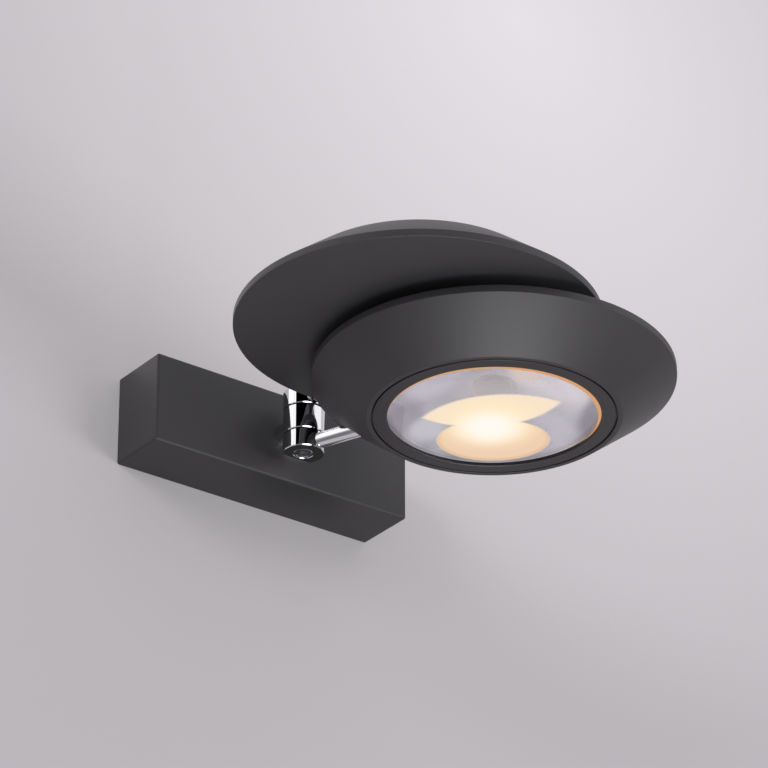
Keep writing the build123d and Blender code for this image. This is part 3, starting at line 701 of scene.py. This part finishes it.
class LIGHT_OT_hubs(bpy.types.Operator):
    """Turning ends of the barrel, each with its counterbore and its arm"""
    bl_idname = "light.hubs"
    bl_label = "Hubs and arms"

    def execute(self, context):
        radius = sizes().barrel_radius / MM
        edge = sizes().barrel_chamfer / MM
        chrome = chrome_plate()
        hub = turn("hub_end", [
            (CHAMBER_RADIUS, 7), (radius - edge, 7), (radius, 7 + edge), (radius, BARREL_END - edge),
            (radius - edge, BARREL_END), (5.15, BARREL_END), (4.95, 16.2), (4.95, 13.0), (2.55, 13.0),
            (2.55, 10.8), (CHAMBER_RADIUS, 10.8)])
        hub.location = (0, HEAD_REACH * MM, 0)
        head_pair(place_applied(hub), "hub", chrome, 20)
        arm_radius = sizes().arm_radius / MM
        arm = turn("arm_tube", [
            (arm_radius - 1, 6.5), (arm_radius, 6.5), (arm_radius, 44.0), (arm_radius - 1, 44.0)], 72)
        arm.matrix_world = (Matrix.Translation((0, HEAD_REACH * MM, ARM_HEIGHT * MM))
                            @ Matrix.Rotation(math.radians(90), 4, "X"))
        head_pair(place_applied(arm), "arm", chrome)
        return {"FINISHED"}


class LIGHT_OT_heads(bpy.types.Operator):
    """Conical housings, their flat plates and the screwed lens rings"""
    bl_idname = "light.heads"
    bl_label = "Heads"

    def execute(self, context):
        rim = sizes().head_radius / MM
        groove = sizes().groove / MM
        rim_edge = sizes().rim_edge / MM
        nose_top = (NOSE_RADIUS, NOSE)
        rim_corner = corner((rim, RIM_LOW), (rim, RIM_HIGH), nose_top, rim_edge)
        nose_corner = corner((rim, RIM_HIGH), nose_top, (RING_RADIUS, NOSE), sizes().nose_edge / MM, 6)
        lip = RING_RADIUS + groove
        bore = 57.95
        shelf = RING_LOW - 2.0
        housing = turn("conical_housing", [
            (85, RIM_LOW), (rim, RIM_LOW), *rim_corner, *nose_corner,
            (lip + 0.15, NOSE), (lip, NOSE - 0.15), (lip, NOSE - 1.5), (bore, NOSE - 1.5), (bore, RING_LOW),
            (50, RING_LOW), (50, shelf), (bore + 2.0, shelf), (bore + 2.0, shelf + 4.0),
            (62.3, shelf + 4.0), (85.0, 5.75)], 256)
        coat = powder_coat("satin_powder_coat", tuple(colours().coat))
        head_pair(housing, "housing", coat, 20)
        plate_corner = corner((0, PLATE_LOW), (rim, PLATE_LOW), (rim, RIM_LOW), rim_edge)
        plate = turn("flat_plate", [
            (0, PLATE_LOW), *plate_corner, (rim, RIM_LOW), (84.95, RIM_LOW), (84.95, 5.7),
            (81.95, 5.7), (81.95, RIM_LOW), (0, RIM_LOW)], 256)
        head_pair(plate, "back_plate", coat, 20)
        ring = turn("screwed_ring", [
            (APERTURE_RADIUS, GLASS_HIGH), (APERTURE_RADIUS, NOSE - 0.4), (51.1, NOSE - 0.18), (51.4, NOSE),
            (57.7, NOSE), (RING_RADIUS, NOSE - 0.2), (RING_RADIUS, RING_LOW), (54.2, RING_LOW),
            (54.2, GLASS_HIGH)], 256)
        head_pair(ring, "lens_ring", {side: anodised_ring(side) for side in REST}, 20)
        return {"FINISHED"}


def dome(radius, height, rise, steps):
    """Points of a shallow dome's half section, from its rim to its crown."""
    ball = (radius ** 2 + rise ** 2) / (2 * abs(rise))
    points = []
    for step in range(steps + 1):
        r = radius * math.cos(math.pi / 2 * step / steps)
        sag = math.sqrt(ball ** 2 - r ** 2) - (ball - abs(rise))
        points.append((r if step < steps else 0, height + math.copysign(sag, rise)))
    return points


class LIGHT_OT_lenses(bpy.types.Operator):
    """Domed glass lenses, their gaskets, the reflectors behind them and the glowing light sources"""
    bl_idname = "light.lenses"
    bl_label = "Lenses and light sources"

    def execute(self, context):
        belly = list(reversed(dome(BELLY_RADIUS, GLASS_LOW, -LENS_BULGE, 12)))
        crown = dome(CROWN_RADIUS, GLASS_HIGH, LENS_BULGE, 12)
        lens = turn("domed_lens", [*belly, (LENS_RADIUS, GLASS_LOW), (LENS_RADIUS, GLASS_HIGH), *crown], 128)
        head_pair(lens, "lens", {side: lit_glass(side) for side in REST}, 40)
        gasket = turn("lens_seal", [
            (51.6, RING_LOW), (LENS_RADIUS, RING_LOW), (LENS_RADIUS, GLASS_LOW), (51.6, GLASS_LOW)], 128)
        silicone = moulded("matt_black_silicone", linear("#252526"), 0.6, 0.8)
        head_pair(gasket, "lens_gasket", silicone)
        bowl = turn("reflector_bowl", [
            (11, CHIP_LOW), (11.8, CHIP_LOW), (49.8, RING_LOW - 0.8), (49.8, RING_LOW), (51.4, RING_LOW),
            (51.4, GLASS_LOW), (BELLY_RADIUS, GLASS_LOW), (BELLY_RADIUS, RING_LOW - 0.8), (11, 11.15)], 128)
        head_pair(bowl, "reflector", {side: reflector_metal(side) for side in REST}, 20)
        chip = turn("phosphor_disc", [
            (0, CHIP_LOW), (8.5, CHIP_LOW), (8.5, 11.0), (8.2, 11.25), (0, 11.25)], 64)
        head_pair(chip, "led_chip", lit("glowing_phosphor", linear("#bab4b3"), 0.55))
        return {"FINISHED"}


class LIGHT_OT_kept_nodes(bpy.types.Operator):
    """Finishes for the pieces inside, which keep their CAD shapes"""
    bl_idname = "light.kept_nodes"
    bl_label = "Pieces inside"

    def execute(self, context):
        finishes = {}
        for part in frame["record"]["subparts"]:
            piece = frame["nodes"][part["node"]]
            if piece.hide_render:
                continue
            slot = part["material_slot"]
            if slot not in finishes:
                finishes[slot] = cad_finish(slot)
            piece.data.materials.clear()
            piece.data.materials.append(finishes[slot])
        return {"FINISHED"}


class LIGHT_OT_studio(bpy.types.Operator):
    """Pale wall that the light hangs on, floor, soft lamps and the camera"""
    bl_idname = "light.studio"
    bl_label = "Studio"

    def execute(self, context):
        scene = context.scene
        span = sizes().wall_span
        low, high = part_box("canopy")
        bpy.ops.object.select_all(action="DESELECT")
        bpy.ops.mesh.primitive_plane_add(size=span, location=(0, 0.5 * MM, 0), rotation=(math.pi / 2, 0, 0))
        wall = new_piece("studio_wall")
        # The wall is sunk 4.5 mm behind the canopy, 1 mm inside its outline all round.
        bpy.ops.mesh.primitive_cube_add(size=1, location=(0, 0, 0),
                                        scale=(high.x - low.x - 2 * MM, 10 * MM, high.z - low.z - 2 * MM))
        cut(wall, new_piece("way_through"))
        shade = tuple(colours().wall)
        painted_light_pool = tuple(colours().wall_light_pool)
        dark = tuple(colours().floor)
        wall.data.materials.append(self.plaster("pale_matt_plaster", shade, painted_light_pool))
        bpy.ops.mesh.primitive_plane_add(size=span, location=(0, 0, -1.4))
        floor = new_piece("studio_floor")
        floor.data.materials.append(self.plaster("grey_matt_floor", dark, dark))
        self.lamps(scene)
        self.camera(scene)
        scene.view_settings.view_transform = "Standard"
        return {"FINISHED"}

    def plaster(self, name, shade, painted_light_pool):
        """Matt plaster with a painted pool of light up and to the right of the light, and seen through from
        behind.
        """
        made, tree, shader, where = start_material(name)
        # Painted light: a soft pool of light painted into the wall's colour, centred up and to the right.
        spot = node(tree, "ShaderNodeMapping", {
            "Vector": where, "Location": (180 * MM, 0, 330 * MM), "Scale": (0.42, 0.42, 0.42)},
            vector_type="TEXTURE")
        fade = node(tree, "ShaderNodeTexGradient", {"Vector": spot.outputs["Vector"]},
                    gradient_type="SPHERICAL")
        base = over(tree, fade.outputs["Fac"], shade, painted_light_pool)
        tree.links.new(base, shader.inputs["Base Color"])
        shader.inputs["Roughness"].default_value = 0.9
        shader.inputs["Specular IOR Level"].default_value = 0.1
        # The camera sees the wall glow a little by itself, which keeps shadows soft, and polished metal sees
        # it glow more.
        camera_glow, mirror_glow = 0.45, 0.65
        seen = node(tree, "ShaderNodeLightPath")
        lift = node(tree, "ShaderNodeMath", {
            0: seen.outputs["Is Camera Ray"], 1: camera_glow}, operation="MULTIPLY")
        lift = node(tree, "ShaderNodeMath", {
            0: seen.outputs["Is Glossy Ray"], 1: mirror_glow, 2: lift.outputs[0]},
            operation="MULTIPLY_ADD").outputs[0]
        tree.links.new(base, shader.inputs["Emission Color"])
        tree.links.new(lift, shader.inputs["Emission Strength"])
        side = node(tree, "ShaderNodeNewGeometry").outputs["Backfacing"]
        clear = node(tree, "ShaderNodeBsdfTransparent").outputs["BSDF"]
        mixed = node(tree, "ShaderNodeMixShader", {0: side, 1: shader.outputs["BSDF"], 2: clear})
        tree.links.new(mixed.outputs["Shader"], tree.nodes["Material Output"].inputs["Surface"])
        return made

    def card(self, name, place, turned, span, strength, soft=False):
        """A card round the light that only shows in its sheen and its polished metal."""
        bpy.ops.object.select_all(action="DESELECT")
        bpy.ops.mesh.primitive_plane_add(size=1, location=place, rotation=turned)
        bpy.context.active_object.scale = (*span, 1)
        panel = new_piece(name)
        made, tree = start_material(name)[:2]
        glow = node(tree, "ShaderNodeEmission", {"Color": (1, 1, 1, 1), "Strength": strength})
        if soft:
            spread = node(tree, "ShaderNodeMapping", {
                "Vector": node(tree, "ShaderNodeTexCoord").outputs["UV"], "Location": (-0.5, -0.5, 0)})
            reach = node(tree, "ShaderNodeVectorMath", {0: spread.outputs["Vector"]}, operation="LENGTH")
            fade = node(tree, "ShaderNodeMapRange", {
                "Value": reach.outputs["Value"], "From Min": 0.5, "From Max": 0.15, "To Max": strength},
                interpolation_type="SMOOTHSTEP")
            tree.links.new(fade.outputs["Result"], glow.inputs["Strength"])
        tree.links.new(glow.outputs["Emission"], tree.nodes["Material Output"].inputs["Surface"])
        panel.data.materials.append(made)
        for ray in ("camera", "diffuse", "shadow", "transmission"):
            setattr(panel, "visible_" + ray, False)

    def lamps(self, scene):
        world = bpy.data.worlds.new("studio_air")
        scene.world = world
        world.use_nodes = True
        sky = world.node_tree.nodes["Background"]
        sky.inputs["Color"].default_value = tuple(colours().air)
        sky.inputs["Strength"].default_value = 0.9
        # Each lamp: its name, place in metres, width and height, watts, and whether metal mirrors it.
        for name, place, size, power, mirrored in (
                ("key_softbox", (1.5, -1.3, 2.1), (2.4, 2.4), 9.0, True),
                ("left_softbox", (-2.4, -1.2, 0.8), (1.0, 1.0), 34.0, False),
                ("front_softbox", (1.5, -1.9, -0.65), (1.3, 0.9), 22.0, True)):
            lamp = bpy.data.lights.new(name, "AREA")
            lamp.shape = "RECTANGLE"
            lamp.size, lamp.size_y = size
            lamp.energy = power
            holder = bpy.data.objects.new(name, lamp)
            scene.collection.objects.link(holder)
            holder.visible_glossy = mirrored
            holder.location = place
            holder.rotation_euler = (Vector((0, -0.1, 0)) - Vector(place)).to_track_quat("-Z", "Y").to_euler()
        # Each upright card: its name, place in metres, turn in degrees, width and height, and brightness.
        for name, place, around, span, strength in (
                ("white_card", (-2.59, -0.2, 1.75), -85.5, (0.6, 2.9), 1.3),
                ("white_wall_card", (-0.52, -0.003, 0.3), 0, (0.9, 0.54), 1.3),
                ("grey_wall_card", (-0.36, -0.003, -0.16), 0, (0.42, 0.16), 0.22),
                ("dim_wall_card", (0.045, -0.003, -0.095), 0, (0.09, 0.035), 0.16),
                ("black_card", (-1.74, -2.68, 2.2), -33, (6.6, 4.0), 0.0),
                ("small_dark_card", (0.03, -0.002, -0.057), 0, (0.05, 0.04), 0.03)):
            self.card(name, place, (math.pi / 2, 0, math.radians(around)), span, strength)
        # The card under the light fades out towards its edge, because the lens mirrors it from below.
        self.card("low_white_card", (0.02, -0.45, -1.2), (0, 0, 0), (1.1, 1.1), 12.0, soft=True)

    def camera(self, scene):
        """Camera at the photograph's angle and distance."""
        around, above = CAMERA_AZIMUTH, CAMERA_ELEVATION
        back = Vector((
            math.sin(around) * math.cos(above), -math.cos(around) * math.cos(above), math.sin(above)))
        right = Vector((0, 0, 1)).cross(back).normalized()
        up = back.cross(right)
        lens = bpy.data.cameras.new("camera")
        lens.sensor_width = SENSOR_WIDTH
        lens.lens = SENSOR_WIDTH * FOCAL_PIXELS / PHOTO_PIXELS
        lens.clip_end = 100.0
        holder = bpy.data.objects.new("camera", lens)
        scene.collection.objects.link(holder)
        holder.location = back * CAMERA_BACK + right * CAMERA_RIGHT + up * CAMERA_UP
        holder.rotation_euler = (-back).to_track_quat("-Z", "Y").to_euler()
        scene.camera = holder


PIECES = (LIGHT_OT_canopy, LIGHT_OT_knuckle, LIGHT_OT_hubs, LIGHT_OT_heads, LIGHT_OT_lenses,
          LIGHT_OT_kept_nodes, LIGHT_OT_studio)


class LIGHT_PT_panel(bpy.types.Panel):
    """Buttons for each piece, in the order in which they are made"""
    bl_idname = "LIGHT_PT_panel"
    bl_label = "Wall light"
    bl_space_type = "VIEW_3D"
    bl_region_type = "UI"
    bl_category = "Wall light"

    def draw(self, context):
        column = self.layout.column()
        for group in (context.scene.light_sizes, context.scene.light_colours):
            for name in group.__annotations__:
                column.prop(group, name)
        for piece in PIECES:
            column.operator(piece.bl_idname)


CLASSES = (LightSizes, LightColours, *PIECES, LIGHT_PT_panel)


def register():
    for each in CLASSES:
        bpy.utils.register_class(each)
    bpy.types.Scene.light_sizes = bpy.props.PointerProperty(type=LightSizes)
    bpy.types.Scene.light_colours = bpy.props.PointerProperty(type=LightColours)


def unregister():
    del bpy.types.Scene.light_colours
    del bpy.types.Scene.light_sizes
    for each in reversed(CLASSES):
        bpy.utils.unregister_class(each)


def main():
    register()
    bpy.ops.light.canopy()
    bpy.ops.light.knuckle()
    bpy.ops.light.hubs()
    bpy.ops.light.heads()
    bpy.ops.light.lenses()
    bpy.ops.light.kept_nodes()
    bpy.ops.light.studio()


if __name__ == "__main__":
    main()
